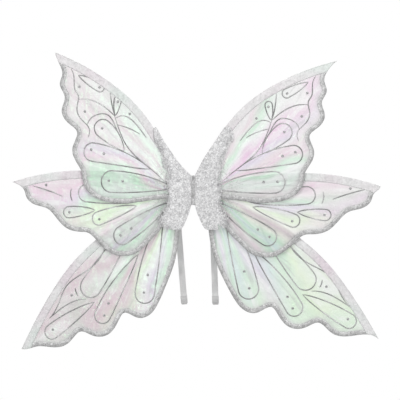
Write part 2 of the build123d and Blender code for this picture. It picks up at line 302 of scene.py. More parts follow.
def ridges(x, y, z):
    """Sharp creases between flat facets, up to 1 at the creases."""
    return 1 - np.abs(gradient_noise(x, y, z)) * 2.8


# ------------ how a wing's film lies
class Lie:
    """The depth that creases and slack add to one wing's flat layout."""

    def __init__(self, half, wing):
        self.seed = CREASE[wing] + (100 if half.sign > 0 else 0)
        self.rod = half.flat(node_points(f"{half.side}_{wing}_rod"))
        self.tree = tree_of(self.rod)
        outline, edges, _ = front_outline(half, f"{half.side}_{wing}_edge_tape")
        tape, _ = cut_edges(outline, edges, 3 * MM)
        self.held = tree_of(np.concatenate([self.rod[:, :2], tape]))
        self.pivot = half.pivot

    def rod_near(self, points):
        """The nearest point of the rod to each point, and how far it is."""
        index, gap = nearest(self.tree, points)
        return self.rod[index], gap

    def at(self, points):
        """The depth added at each point: pleats that fan from the rivet, creases, and a wave at the tip."""
        points = np.asarray(points)
        u, v, seed = points[:, 0], points[:, 1], self.seed
        free = ease((nearest(self.held, points)[1] - 5 * MM) / (30 * MM))
        radius = np.hypot(u - self.pivot[0], v - self.pivot[1])
        angle = np.arctan2(v - self.pivot[1], u - self.pivot[0])
        fan = gradient_noise(angle * 5.5, radius * 7, seed)
        folds = ridges(angle * 12, radius * 9, seed + 5)
        crinkle = ridges(u * 32 + fan * 0.8, v * 32, seed + 9)
        fine = ridges(u * 80, v * 80 + crinkle, seed + 13)
        rise = 2.4 * fan + 1.5 * (folds - 0.5) + 1.3 * (crinkle - 0.5) + 0.5 * (fine - 0.5)
        rise = np.where(rise > 0, BACKWARD * np.tanh(rise / BACKWARD), FORWARD * np.tanh(rise / FORWARD))
        tip = np.clip((radius - 0.27) / 0.12, 0, 1) ** 2
        wave = gradient_noise(u * 9, v * 9, seed + 21)
        return free * (np.minimum(radius / 0.16, 1.0) * rise + 6.0 * tip * wave) * MM


# ------------ materials
class Graph:
    """Short ways to add a node tree's nodes and to join them."""

    def __init__(self, tree):
        self.nodes, self.links = tree.nodes, tree.links

    def set(self, node, **values):
        """Give inputs a value or a link: in0 is the first input, Base_Color the input of that name."""
        for name, value in values.items():
            numbered = name.startswith("in") and name[2:].isdigit()
            socket = node.inputs[int(name[2:]) if numbered else name.replace("_", " ")]
            if isinstance(value, bpy.types.NodeSocket):
                self.links.new(value, socket)
            else:
                socket.default_value = value

    def add(self, kind, settings=(), **values):
        node = self.nodes.new(kind)
        for name, value in dict(settings).items():
            setattr(node, name, value)
        self.set(node, **values)
        return node

    def axis(self, vector, name):
        return self.add("ShaderNodeSeparateXYZ", Vector=vector).outputs[name]

    def math(self, operation, a, b=0.0):
        return self.add("ShaderNodeMath", {"operation": operation}, in0=a, in1=b).outputs[0]

    def times(self, a, b):
        return self.math("MULTIPLY", a, b)

    def plus(self, a, b):
        return self.math("ADD", a, b)

    def uneven(self, value, noise, amount, middle=0.5):
        """The value moved up and down by a noise that varies round its middle."""
        return self.plus(value, self.times(self.math("SUBTRACT", noise, middle), amount))

    def between(self, value, first, last, low, high):
        """The value mapped from first..last to low..high, and held there."""
        node = self.add("ShaderNodeMapRange", Value=value, From_Min=first, From_Max=last)
        self.set(node, To_Min=low, To_Max=high)
        return node.outputs["Result"]


class Shader(Graph):
    """A Principled material."""

    def __init__(self, name, **values):
        self.material = bpy.data.materials.new(name)
        self.material.use_nodes = True
        super().__init__(self.material.node_tree)
        self.surface = self.nodes["Principled BSDF"]
        self.place = self.add("ShaderNodeTexCoord").outputs["Object"]
        self.last_bump = None
        self.paint(**values)

    def paint(self, **values):
        self.set(self.surface, **values)

    def uv(self, name):
        return self.add("ShaderNodeUVMap", {"uv_map": name}).outputs["UV"]

    def noise(self, scale, detail=3.0, vector=None, distortion=0.0, roughness=0.5):
        node = self.add("ShaderNodeTexNoise", Vector=vector or self.place, Scale=scale, Detail=detail)
        self.set(node, Distortion=distortion, Roughness=roughness)
        return node.outputs["Fac"]

    def cells(self, scale, feature="F1", output="Distance", vector=None):
        node = self.add("ShaderNodeTexVoronoi", {"feature": feature}, Vector=vector or self.place)
        self.set(node, Scale=scale)
        return node.outputs[output]

    def grains(self, scale, vector=None):
        """Cells with three random values each."""
        colour = self.cells(scale, output="Color", vector=vector)
        return self.add("ShaderNodeSeparateColor", Color=colour).outputs

    def glitter(self, size, smooth=0.25, rough=0.6, channel=1):
        """Tilted grains of the given size, some smoother than others."""
        grains = self.grains(1 / size)
        self.paint(Roughness=self.ramp(grains[channel], (0.0, smooth), (1.0, rough)))
        self.bump(self.cells(1 / size), 0.25 * MM, 0.9)
        return grains

    def threads(self, direction, spacing, vector=None, distortion=0.0):
        """Even bands across a direction, the given spacing apart."""
        node = self.add("ShaderNodeTexWave", {"bands_direction": direction}, Vector=vector or self.place)
        self.set(node, Scale=BANDS_PER_METRE / spacing, Distortion=distortion)
        return node.outputs["Fac"]

    def stretched(self, vector, x, y, z=1.0):
        return self.add("ShaderNodeMapping", Vector=vector, Scale=(x, y, z)).outputs["Vector"]

    def ramp(self, value, *stops):
        node = self.add("ShaderNodeValToRGB", Fac=value)
        elements = node.color_ramp.elements
        while len(elements) < len(stops):
            elements.new(0.5)
        for element, (at, colour) in zip(elements, stops):
            element.position = at
            element.color = (*colour, 1) if hasattr(colour, "__len__") else (colour, colour, colour, 1)
        return node.outputs["Color"]

    def mix(self, factor, a, b, blend="MIX"):
        node = self.add("ShaderNodeMix", {"data_type": "RGBA", "blend_type": blend})
        for at, value in ((0, factor), (6, a), (7, b)):
            if isinstance(value, bpy.types.NodeSocket):
                self.links.new(value, node.inputs[at])
            else:
                node.inputs[at].default_value = (*value, 1) if at else value
        return node.outputs[2]

    def shaded(self, a, b):
        """One colour darkened by another."""
        return self.mix(1.0, a, b, "MULTIPLY")

    def bump(self, height, distance, strength=1.0):
        node = self.add("ShaderNodeBump", Height=height, Distance=distance, Strength=strength)
        if self.last_bump:
            self.set(node, Normal=self.last_bump)
        self.last_bump = node.outputs["Normal"]
        self.paint(Normal=self.last_bump)


BANDS_PER_METRE = 0.31  # a wave texture's scale for bands one metre apart


def grey(value, tint=0.0):
    return (value, value * (1 - 0.05 * tint), value * (1 + 0.15 * tint))


# Pastel tints of the film.
TINTS = {
    "pink": (0.86, 0.62, 0.77), "rose": (0.84, 0.72, 0.78), "lilac": (0.76, 0.68, 0.84),
    "mint": (0.65, 0.88, 0.71), "lime": (0.79, 0.93, 0.69), "sky": (0.67, 0.81, 0.83),
    "pearl": (0.79, 0.80, 0.80), "white": (0.93, 0.95, 0.95), "cream": (0.93, 0.94, 0.86),
    "frost": (0.86, 0.95, 0.90), "blush": (0.92, 0.86, 0.89), "magenta": (0.86, 0.50, 0.78),
    "dusk": (0.68, 0.50, 0.58),
}
# the pale streaks are painted highlights and the dark streaks are painted shade in the film's creases
PAINTED_HIGHLIGHT_STREAK, PAINTED_CREASE_SHADE = (0.95, 0.95, 0.96), (0.46, 0.45, 0.47)
ORDER = {  # the tints that each wing shows, from its lowest ray to its leading edge
    ("left", "upper"): "frost cream mint frost frost mint pink lilac rose white rose frost pearl rose rose",
    ("left", "middle"): "pearl mint lilac pearl white rose lime lime lime mint lilac pink rose",
    ("left", "lower"): "rose lime lime mint mint lilac white lime dusk dusk mint frost dusk rose pearl",
    ("right", "upper"):
        "cream lime cream blush frost white mint pink rose lilac magenta white mint rose pearl",
    ("right", "middle"): "rose mint sky mint cream rose cream lime lilac mint blush pink pearl",
    ("right", "lower"): "rose pink lime mint lilac mint sky mint lilac sky mint mint lime frost pearl",
}
OUTER = {  # the tint that each wing turns to near its scalloped edge, and how much of it
    "left": {"upper": ("rose", 0.75), "middle": ("pink", 0.55), "lower": ("dusk", 0.6)},
    "right": {"upper": ("blush", 0.55), "middle": ("rose", 0.6), "lower": ("lime", 0.5)},
}
RAYS = {"upper": (-16, 68), "middle": (-48, 12), "lower": (-98, -30)}  # the angles that a wing spans, degrees


def film_material(side, wing, seed):
    """Iridescent film: soft pastel rays from the root, broken into patches, with pale streaks of painted
    highlight and dark streaks of painted shade in its creases.
    """
    s = Shader(f"film_{side}_{wing}", IOR=1.6, Specular_IOR_Level=0.6)
    s.paint(Thin_Film_Thickness=560, Thin_Film_IOR=1.5)
    flat, fan = s.uv("flat"), s.uv("fan")
    shift = s.add("ShaderNodeVectorMath", {"operation": "ADD"}, in0=fan, in1=(seed, seed * 1.7, 0))
    shift = shift.outputs[0]
    first, last = (math.radians(angle) * FAN_SCALE for angle in RAYS[wing])
    ray = s.between(s.axis(fan, "X"), first, last, 0.0, 1.0)
    reach = s.axis(fan, "Y")
    cloud = s.noise(16.0, 3.0, flat)

    # the rays' tints, shifted in patches, and the outer tint above the lowest rays
    tints = [TINTS[tint] for tint in ORDER[side, wing].split()]
    patches = s.noise(2.0, 2.0, s.stretched(shift, 2.4, 2.8), 0.6, 0.45)
    stops = ((i / (len(tints) - 1), tint) for i, tint in enumerate(tints))
    hue = s.ramp(s.uneven(ray, patches, 0.55), *stops)
    outer, share = OUTER[side][wing]
    far = s.ramp(s.uneven(reach, s.noise(9.0, 2.0, flat), 0.2), (0.20, 0.0), (0.33, share))
    above = s.ramp(ray, (0.18, 0.0), (0.42, 1.0))
    hue = s.mix(s.times(far, above), hue, TINTS[outer])
    hue = s.mix(s.ramp(cloud, (0.4, 0.0), (0.7, 0.28)), hue, TINTS["pearl"])

    # painted highlights and painted shade in the creases, as pale and dark streaks along the rays
    streak = s.noise(3.4, 4.0, s.stretched(shift, 15.0, 2.4), 0.7, 0.6)
    colour = s.mix(s.times(s.ramp(streak, (0.53, 0.0), (0.62, 1.0)), 0.55), hue, PAINTED_HIGHLIGHT_STREAK)
    colour = s.mix(s.times(s.ramp(streak, (0.32, 1.0), (0.43, 0.0)), 0.4), colour, PAINTED_CREASE_SHADE)

    # the edging's print fades into the film
    soft = s.uneven(s.axis(s.uv("rim"), "X"), s.noise(60.0, 3.0, flat), 9 * MM)
    printed = s.ramp(s.times(soft, 1 / (11 * MM)), (0.05, 0.62), (0.45, 0.22), (1.0, 0.0))
    colour = s.mix(printed, colour, (0.56, 0.55, 0.56))

    # glitter that thins out from the root
    near = s.ramp(reach, (0.045, 0.5), (0.09, 0.0))
    grains = s.grains(520.0, flat)
    speck = s.math("LESS_THAN", grains[0], s.times(near, s.times(cloud, 1.5)))
    colour = s.mix(speck, colour, s.ramp(grains[1], (0.0, 0.46), (0.6, 0.68), (1.0, 0.88)))

    wear = s.ramp(s.noise(26.0, 3.0, flat), (0.3, 0.70), (0.7, 0.86))
    s.paint(Base_Color=colour, Alpha=s.math("MAXIMUM", wear, s.times(speck, 0.97)))
    s.paint(Roughness=s.ramp(cloud, (0.3, 0.16), (0.7, 0.3)))
    creases = s.cells(70.0, "DISTANCE_TO_EDGE", vector=flat)
    s.bump(s.ramp(creases, (0.0, 1.0), (0.10, 0.0)), 0.4 * MM, 0.45)
    s.bump(s.noise(190.0, 2.0, flat), 0.3 * MM, 0.5)
    return s.material


def glitter_material(name, dark, light, size, metal, rough=0.42, groove_shade=False, fade=False):
    """Grains of glitter, a few of them painted near-white as glints. With groove_shade, the middle along the
    seam is darkened with painted shade. A fade loses grains towards the rim map's edge.
    """
    s = Shader(name, Metallic=metal)
    tone = s.glitter(size, rough * 0.5, rough * 1.3, channel=2)
    coarse = s.cells(0.32 / size, output="Color")
    level = s.plus(s.times(tone[0], 0.6), s.times(coarse, 0.4))
    middle = grey((dark + light) / 2, 0.05)
    colour = s.ramp(level, (0.15, grey(dark, 0.1)), (0.55, middle), (0.85, grey(light)))
    # a few grains painted near-white: painted glints
    colour = s.mix(s.ramp(tone[1], (0.9, 0.0), (0.93, 1.0)), colour, (0.97, 0.97, 0.98))
    if groove_shade:
        # painted shade: the tape darkened across its middle along the seam, where it is drawn in
        side = s.uneven(s.math("ABSOLUTE", s.axis(s.place, "X")), s.noise(70.0, 2.0), 4 * MM, 0.45)
        seam = s.ramp(s.times(side, 1 / (4 * MM)), (0.05, 0.34), (0.32, 0.75), (0.6, 1.0))
        colour = s.shaded(colour, seam)
    if fade:
        left = s.uneven(s.times(s.axis(s.uv("rim"), "X"), 1 / (17 * MM)), s.noise(55.0, 2.0), 1.1)
        s.paint(Alpha=s.math("LESS_THAN", tone[1], left))
    s.paint(Base_Color=colour)
    return s.material


def edging_material():
    """Glitter edging, blotched, darker towards the scalloped edge and lighter towards the film."""
    s = Shader("glitter_edging", Metallic=0.05)
    rim = s.uv("rim")
    grain = s.glitter(1.0 * MM)
    across = s.uneven(s.axis(rim, "X"), s.noise(70.0, 4.0), 15 * MM)
    base = s.ramp(s.times(across, 1 / (12 * MM)), (0.0, 0.46), (0.35, 0.54), (0.60, 0.68), (0.95, 0.78))
    line = s.ramp(s.times(s.axis(rim, "Y"), 1 / (3 * MM)), (0.2, 0.8), (0.5, 1.0))
    tone = s.ramp(grain[0], (0.1, 0.62), (0.6, 1.0), (0.95, 1.3))
    patch = s.ramp(s.noise(130.0, 2.0), (0.35, 0.82), (0.65, 1.12))
    s.paint(Base_Color=s.shaded(s.shaded(s.shaded(base, line), tone), patch))
    return s.material


def tape_material():
    """The clear-backed band along the leading edges: crinkled, streaked and faintly tinted like the film."""
    s = Shader("satin_tape", Roughness=0.45, Sheen_Weight=0.2)
    flat = s.uv("flat")
    rose, pale, mint = (0.80, 0.72, 0.77), (0.82, 0.80, 0.81), (0.76, 0.83, 0.79)
    tint = s.ramp(s.noise(11.0, 2.0), (0.3, rose), (0.45, pale), (0.55, grey(0.83)), (0.7, mint))
    streak = s.noise(85.0, 4.0, flat, 1.5, 0.65)
    tone = s.shaded(tint, s.ramp(streak, (0.3, 0.80), (0.5, 0.98), (0.7, 1.12)))
    threads = s.threads("X", 0.8 * MM, flat)
    s.paint(Base_Color=s.mix(s.times(threads, 0.12), tone, (0.6, 0.6, 0.6)))
    s.bump(s.cells(55.0, "DISTANCE_TO_EDGE", vector=flat), 0.5 * MM, 0.5)
    s.bump(streak, 0.35 * MM, 0.6)
    s.bump(threads, 0.08 * MM, 0.5)
    return s.material


def print_material():
    """The printed lines: grains whose darkness comes and goes along them."""
    s = Shader("glitter_print", Metallic=0.1)
    grain = s.glitter(0.8 * MM)
    level = s.ramp(s.noise(22.0, 3.0), (0.35, 0.24), (0.5, 0.40), (0.66, 0.66))
    s.paint(Base_Color=s.shaded(level, s.ramp(grain[0], (0.1, 0.7), (0.9, 1.3))))
    return s.material


def cloth_material(name, colour, thread, rough, sheen):
    """A woven cloth: two sets of threads, slubs, faint soiling and sheen."""
    s = Shader(name, Roughness=rough, Sheen_Weight=sheen)
    weave = s.times(s.threads("X", thread, distortion=0.6), s.threads("Z", thread, distortion=0.6))
    tone = s.mix(s.ramp(weave, (0.0, 0.35), (0.8, 0.0)), colour, tuple(c * 0.72 for c in colour))
    soiling = s.ramp(s.noise(24.0, 4.0), (0.35, 0.22), (0.65, 0.0))
    s.paint(Base_Color=s.mix(soiling, tone, tuple(c * 0.8 for c in colour)))
    s.bump(weave, thread * 0.35, 0.6)
    s.bump(s.noise(900.0, 2.0), 0.06 * MM, 0.5)
    return s.material


def plain_material(name, colour, rough, metal=0.0, grain=500.0, depth=0.03 * MM, brushed=(1, 1, 1)):
    """Metal, board, foam, thread or floor, with a fine grain and handling marks."""
    s = Shader(name, Metallic=metal)
    fine = s.noise(grain, 3.0, s.stretched(s.place, *brushed))
    marks = s.noise(38.0, 5.0, roughness=0.65)
    tone = s.mix(s.ramp(marks, (0.4, 0.0), (0.7, 0.35)), colour, tuple(c * 0.78 for c in colour))
    tone = s.mix(s.ramp(fine, (0.35, 0.25), (0.6, 0.0)), tone, tuple(c * 0.7 for c in colour))
    s.paint(Base_Color=tone, Roughness=s.ramp(marks, (0.3, rough * 0.8), (0.75, rough * 1.3)))
    s.bump(fine, depth, 0.6)
    return s.material


def webbing_material(name, level):
    """Ribbed elastic: lengthwise ribs crossed by fine weft picks."""
    s = Shader(name, Roughness=0.7, Sheen_Weight=0.35)
    flat = s.uv("flat")
    picks = s.plus(s.times(s.threads("Y", 0.9 * MM, flat), 0.5), 0.5)
    both = s.times(s.threads("X", 1.5 * MM, flat), picks)
    tone = s.ramp(both, (0.0, level * 0.68), (0.45, level * 0.9), (0.9, level))
    s.paint(Base_Color=s.shaded(tone, s.ramp(s.noise(30.0, 4.0), (0.4, 0.85), (0.65, 1.0))))
    s.bump(both, 0.3 * MM, 0.7)
    return s.material


FILM = {key: film_material(*key, 0.3 + 1.7 * i) for i, key in enumerate(ORDER)}
TAPE = tape_material()
EDGING = edging_material()
PRINT = print_material()
DOT = glitter_material("glitter_dots", 0.2, 0.55, 0.8 * MM, 0.2)
COVER = glitter_material("glitter_cover", 0.46, 0.90, 2.0 * MM, 0.05, 0.5, fade=True)
ELASTIC = webbing_material("elastic_webbing", 0.88)
# a darker copy of the elastic for the folded end: painted shade
SHADED_ELASTIC_FOLD = webbing_material("elastic_fold", 0.74)
PAD = cloth_material("pad_cloth", grey(0.76), 0.9 * MM, 0.8, 0.4)
# glitter tape whose middle along the seam is darkened with painted shade
SPINE = glitter_material("spine_glitter", 0.44, 0.88, 1.8 * MM, 0.05, 0.6, groove_shade=True)
PIPING = cloth_material("piping_cloth", grey(0.62), 0.5 * MM, 0.7, 0.3)
THREAD = plain_material("stitching_thread", grey(0.62), 0.6, grain=1500.0)
BOARD = plain_material("board", grey(0.7), 0.5)
FOAM = plain_material("foam", grey(0.78), 0.9, grain=700.0, depth=0.3 * MM)
WIRE = plain_material("spring_wire", grey(0.6, 0.05), 0.28, 1.0, 260.0, 0.01 * MM, (1, 1, 6))
RIVET = plain_material("turned_rivet", grey(0.74), 0.3, 1.0, 900.0, 0.01 * MM)


# ------------ the wings
def cut_distance(points, border, ends_at):
    """How far each point is from a border, which is cut finely. Its edges join the points of ends_at."""
    ends = np.array([(ends_at[a], ends_at[b]) for a, b in border])
    cuts = np.concatenate([ends[:, 0] * (1 - t) + ends[:, 1] * t for t in (0.0, 0.25, 0.5, 0.75)])
    return distances(points, cuts)


def fan_uv(piece, half, points):
    """A second UV map, angle round the rivet and distance from it, for what spreads from the root."""
    u, v = (points - half.pivot[:2]).T
    add_uv(piece, "fan", np.arctan2(v, u) * FAN_SCALE, np.hypot(u, v))


BAR_SIDES = 6


def stitch_bar(points, faces, start, end, radius, shoulder, tip, depth):
    """Add one stitch, a bar of (u, v, depth) points whose ends taper from the shoulders to the tips."""
    heading = (end - start) / (np.linalg.norm(end - start) + 1e-9)
    side = np.array([-heading[1], heading[0]])
    rings = ((0.0, tip), (shoulder, 1.0), (1 - shoulder, 1.0), (1.0, tip))
    faces += ring_faces(len(points), len(rings), BAR_SIDES)
    for t, size in rings:
        for turn in turns(BAR_SIDES):
            place = start + (end - start) * t + side * math.cos(turn) * radius * size
            points.append((*place, depth + math.sin(turn) * radius * size))


STITCH_PITCH, STITCH_RADIUS = 3.6 * MM, 0.275 * MM
STITCH_SHARE = 0.68  # the share of the pitch that a stitch's bar covers


def stitches(name, half, line, lie, depth):
    """A row of sewn stitches along a line of the flat layout."""
    along = np.concatenate([[0], np.cumsum(np.linalg.norm(np.diff(line, axis=0), axis=1))])
    starts = np.arange(int(along[-1] / STITCH_PITCH)) * STITCH_PITCH

    def at(where):
        return np.stack([np.interp(where, along, line[:, i]) for i in (0, 1)], axis=-1)

    lifts = lie.at(at(starts + STITCH_PITCH * STITCH_SHARE / 2))
    points, faces = [], []
    for start, lift in zip(starts, lifts):
        end = start + STITCH_PITCH * STITCH_SHARE
        stitch_bar(points, faces, at(start), at(end), STITCH_RADIUS, 0.18, 0.35, depth + lift)
    flat = np.array(points)
    return new_piece(name, half.placed(flat), half.wound(faces), flat)


def chain(points, border):
    """A closed border as one ordered ring of points, the longest if there are several."""
    after = dict(border)
    rings, seen = [], set()
    for start in after:
        ring, at = [], start
        while at not in seen and at in after:
            seen.add(at)
            ring.append(at)
            at = after[at]
        rings.append(ring)
    ring = max(rings, key=len)
    return points[ring + ring[:1]]


PARTS = {  # what each film carries: its piece, slot, material and mesh spacing
    "edging": ("edging_piece", "glitter_print", EDGING, 2.0 * MM),
    "veins": ("veins_piece", "glitter_print", PRINT, 1.1 * MM),
    "edge_tape": ("edge_tape_piece", "band_fabric", TAPE, 2.4 * MM),
    "rod_pocket": ("pocket_sleeve", "band_fabric", TAPE, 2.0 * MM),
}


def part_depths(part, rim, v):
    """How far behind the film a part's front and back are, by the distance from its edge, in millimetres."""
    rim = rim / MM
    if part == "rod_pocket":
        return 0.08, 0.5 + 2.95 * ease((rim - 1.4) / 3.6)
    if part == "veins":
        rise = 0.6 + 0.6 * ease(rim / 1.2)
    elif part == "edging":
        rise = 0.45 + 0.5 * ease(rim / 1.4) - 0.25 * ease((rim - 1.6) / 1.6)
    else:
        rise = 0.35 + 0.35 * ease(rim / 1.5) + 0.075 * np.sin(v * 900)
    return -rise, 0.12


def seam_line(lie, ring):
    """The tape's inner border, drawn in towards the rod, as one open line."""
    nearest, gap = lie.rod_near(ring)
    inner = gap > 9.5 * MM
    toward = nearest[inner, :2] - ring[inner]
    line = ring[inner] + toward / np.linalg.norm(toward, axis=1)[:, None] * 1.8 * MM
    gaps = np.linalg.norm(np.diff(line, axis=0), axis=1)
    if gaps.max() > 20 * MM:
        cut = int(gaps.argmax()) + 1
        line = np.concatenate([line[cut:], line[:cut]])
    return line


def make_wing(half, wing):
    """One wing: its film, the print, tape and dots on the film's front, and the rod's pocket behind it."""
    body = f"{half.side}_{wing}_wing"
    node = f"{half.side}_{wing}_"
    lie = Lie(half, wing)

    film_points, film_triangles, film_border, depth = fine_flat(half, node + "film", FILM_GRID)
    film_depth = depth + 0.2 * MM
    flat = np.column_stack([film_points, film_depth + lie.at(film_points)])
    film = new_piece(node + "film_sheet", half.placed(flat), half.wound(film_triangles), flat)
    fan_uv(film, half, film_points)
    outline, edges, _ = front_outline(half, node + "edging")
    band, _ = cut_edges(outline, edges, 2 * MM)
    add_uv(film, "rim", distances(film_points, band))
    finish_piece(film, body, "iridescent_film", FILM[half.side, wing], node + "film")

    pieces = {}
    for part, (ending, slot, material, spacing) in PARTS.items():
        points, triangles, border, _ = fine_flat(half, node + part, spacing)
        rim = cut_distance(points, border, points)
        base = film_depth + lie.at(points)
        front, back = (base + depth * MM for depth in part_depths(part, rim, points[:, 1]))
        pieces[part] = slab_piece(node + ending, half, points, triangles, border, front, back)
        if part == "edging":
            outer = cut_distance(points, film_border, film_points)
            add_uv(pieces[part], "rim", np.tile(outer, 2), np.tile(np.where(outer > 5 * MM, rim, 3 * MM), 2))
        if part == "edge_tape":
            line = seam_line(lie, chain(points, border))
        finish_piece(pieces[part], body, slot, material, node + part)

    row = stitches(node + "tape_stitches", half, line, lie, film_depth - 0.85 * MM)
    attach(row, body, THREAD)
    dots = make_dots(half, wing, lie, film_depth, body)
    pocket = pieces.pop("rod_pocket")


def islands(name, flat):
    """The separate solids of a node, each as its points: those that an edge or a shared place joins."""
    group = list(range(len(flat)))

    def root(i):
        while group[i] != i:
            group[i] = group[group[i]]
            i = group[i]
        return i

    seen = {}
    pairs = [tuple(edge.vertices) for edge in frame["nodes"][name].data.edges]
    pairs += [(i, seen.setdefault(tuple(np.round(p, 6)), i)) for i, p in enumerate(flat)]
    for a, b in pairs:
        group[root(a)] = root(b)
    found = {}
    for i, p in enumerate(flat):
        found.setdefault(root(i), []).append(p)
    return [np.array(points) for points in found.values()]


DOT_SIDES = 20
DOT_RINGS = ((1.0, 0.0), (0.97, 0.45), (0.8, 0.85), (0.5, 1.15), (0.2, 1.28))  # share of the radius, height


def make_dots(half, wing, lie, film_depth, body):
    """Raised glitter dots: low ragged domes where the CAD dots are."""
    name = f"{half.side}_{wing}_dots"
    points, faces = [], []
    for island in islands(name, half.flat(node_points(name))):
        low, high = island.min(axis=0), island.max(axis=0)
        middle, radius = (low + high) / 2, (high[0] - low[0]) / 2
        lift = film_depth + lie.at([middle[:2]])[0]
        faces += ring_faces(len(points), len(DOT_RINGS), DOT_SIDES)
        for reach, height in DOT_RINGS:
            for turn in turns(DOT_SIDES):
                ragged = 1 + 0.05 * RANDOM.uniform(-1, 1)
                lump = 0.1 * RANDOM.uniform(-1, 1) * (height > 0)
                points.append((
                    middle[0] + math.cos(turn) * radius * reach * ragged,
                    middle[1] + math.sin(turn) * radius * reach * ragged,
                    lift + 0.1 * MM - (height + lump) * MM,
                ))
    flat, faces = np.array(points), half.wound(reverse(faces))
    piece = new_piece(f"{half.side}_{wing}_dot_domes", half.placed(flat), faces, flat)
    return finish_piece(piece, body, "dot_glitter", DOT, name)


HORN_START, HORN_END = (38, 60, 0), (75, 125, 0)  # where the cover's horn leaves the half, millimetres


def make_cover(half):
    """The gathered glitter cloth over the root, puffed between its edges, hemmed, and thin at its border
    on the film."""
    name = f"{half.side}_root_cover"
    points, triangles, border, depth = fine_flat(half, name, 1.8 * MM)
    rim = cut_distance(points, border, points)
    seed = 60 if half.sign > 0 else 50
    u, v = points.T
    folds = gradient_noise(np.arctan2(v - half.pivot[1], u) * 5, np.hypot(u, v) * 12, seed)
    lumps = gradient_noise(u * 70, v * 70, seed + 3)
    gathers = gradient_noise(np.arctan2(v - 4 * MM, u + 10 * MM) * 9, np.hypot(u, v) * 18, seed + 7)
    inward = ease(rim / (9 * MM)) * ease((u - 4 * MM) / (14 * MM))
    near_seam = ease(rim / (2 * MM)) * np.exp(-u / (26 * MM))
    rise = (inward * (1.3 + 1.5 * folds + 0.7 * lumps) + near_seam * np.maximum(1.6 * gathers, -0.3)) * MM
    hem = 0.45 * MM * ease(rim / (0.8 * MM)) * (1 - ease((rim - 1.6 * MM) / (1.6 * MM)))
    front = depth - np.maximum(rise, -0.2 * MM) - hem * ease((u - 3 * MM) / (4 * MM))

    # the border that lies on the film: outside the seam's side, below the horn and below the upper border
    ends = points[[edge[0] for edge in border]]
    ceiling = [ends[np.abs(ends[:, 0] - end[0]) < 2.5 * MM, 1].max() for end in ends]
    horn = 0.72 * v.max()
    outer = [
        edge for edge, end, top in zip(border, ends, ceiling)
        if end[0] > 66 * MM and end[1] < min(horn, top - 4 * MM)
    ]
    edge_gap = cut_distance(points, outer, points)
    front += 1.4 * MM * (1 - ease(edge_gap / (9 * MM)))
    piece = slab_piece(f"{half.side}_root_cloth", half, points, triangles, border, front, front + 0.9 * MM)
    add_uv(piece, "rim", np.tile(edge_gap, 2))
    piece.data.materials.append(COVER)
    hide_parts(name)
    # the horn of the cloth is sewn to the leading edge; its two ends there, in the part's frame
    start, end = half.placed(np.array([HORN_START, HORN_END]) * MM)
    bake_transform(piece)


for half in HALVES.values():
    for wing in WINGS:
        make_wing(half, wing)
    make_cover(half)


# ------------ the middle: tape, pad, blocks and straps
def apply_modifiers(piece):
    evaluated = piece.evaluated_get(bpy.context.evaluated_depsgraph_get())
    mesh = bpy.data.meshes.new_from_object(evaluated)
    piece.modifiers.clear()
    piece.data = mesh


def own_copy(name, node):
    """A new object with a copy of a CAD node's mesh, cleaned of doubled points."""
    mesh = frame["nodes"][node].data.copy()
    mesh.name = name
    mesh.materials.clear()
    piece = bpy.data.objects.new(name, mesh)
    bpy.context.scene.collection.objects.link(piece)
    weld = piece.modifiers.new("weld", "WELD")
    weld.merge_threshold = 0.01 * MM
    apply_modifiers(piece)
    return piece


TUBE_SIDES = 10


def tube(name, path, radius):
    """A round tube along a closed path of points that lies across the Y axis, as piping."""
    path = np.array(path)
    ahead = np.roll(path, -1, axis=0) - np.roll(path, 1, axis=0)
    ahead /= np.linalg.norm(ahead, axis=1)[:, None]
    across = np.cross(ahead, np.array([0.0, 1.0, 0.0]))
    across /= np.linalg.norm(across, axis=1)[:, None]
    other = np.cross(across, ahead)
    points = [
        path[i] + radius * (across[i] * math.cos(turn) + other[i] * math.sin(turn))
        for i in range(len(path)) for turn in turns(TUBE_SIDES)
    ]
    return new_piece(name, points, reverse(ring_faces(0, len(path), TUBE_SIDES, loop=True)))


def rounded_loop(half_x, half_z, corner, centre, steps=10):
    """A rounded rectangle of points in the XZ plane."""
    points = []
    for sx, sz, start in ((1, 1, 0), (-1, 1, 90), (-1, -1, 180), (1, -1, 270)):
        for k in range(steps + 1):
            turn = math.radians(start + 90 * k / steps)
            x = centre.x + sx * (half_x - corner) + corner * math.cos(turn)
            z = centre.z + sz * (half_z - corner) + corner * math.sin(turn)
            points.append((x, centre.y, z))
    return points


PAD_MOST = 4 * MM  # how far the simulation may move a point of the pad
PAD_STEPS = 20
PIPING_INSET, PIPING_CORNER, PIPING_RADIUS = 0.8 * MM, 15 * MM, 1.15 * MM


def inflate(piece):
    """Blow a closed cloth up a little by simulation."""
    cloth = piece.modifiers.new("cloth", "CLOTH")
    settings = cloth.settings
    settings.quality, settings.mass = 5, 0.3
    settings.tension_stiffness = settings.compression_stiffness = 30
    settings.bending_stiffness = 3
    settings.use_pressure, settings.uniform_pressure_force = True, 4
    settings.effector_weights.gravity = 0
    cloth.point_cache.frame_start, cloth.point_cache.frame_end = 1, PAD_STEPS
    for at in range(1, PAD_STEPS + 1):
        bpy.context.scene.frame_set(at)
    apply_modifiers(piece)
    bpy.context.scene.frame_set(1)


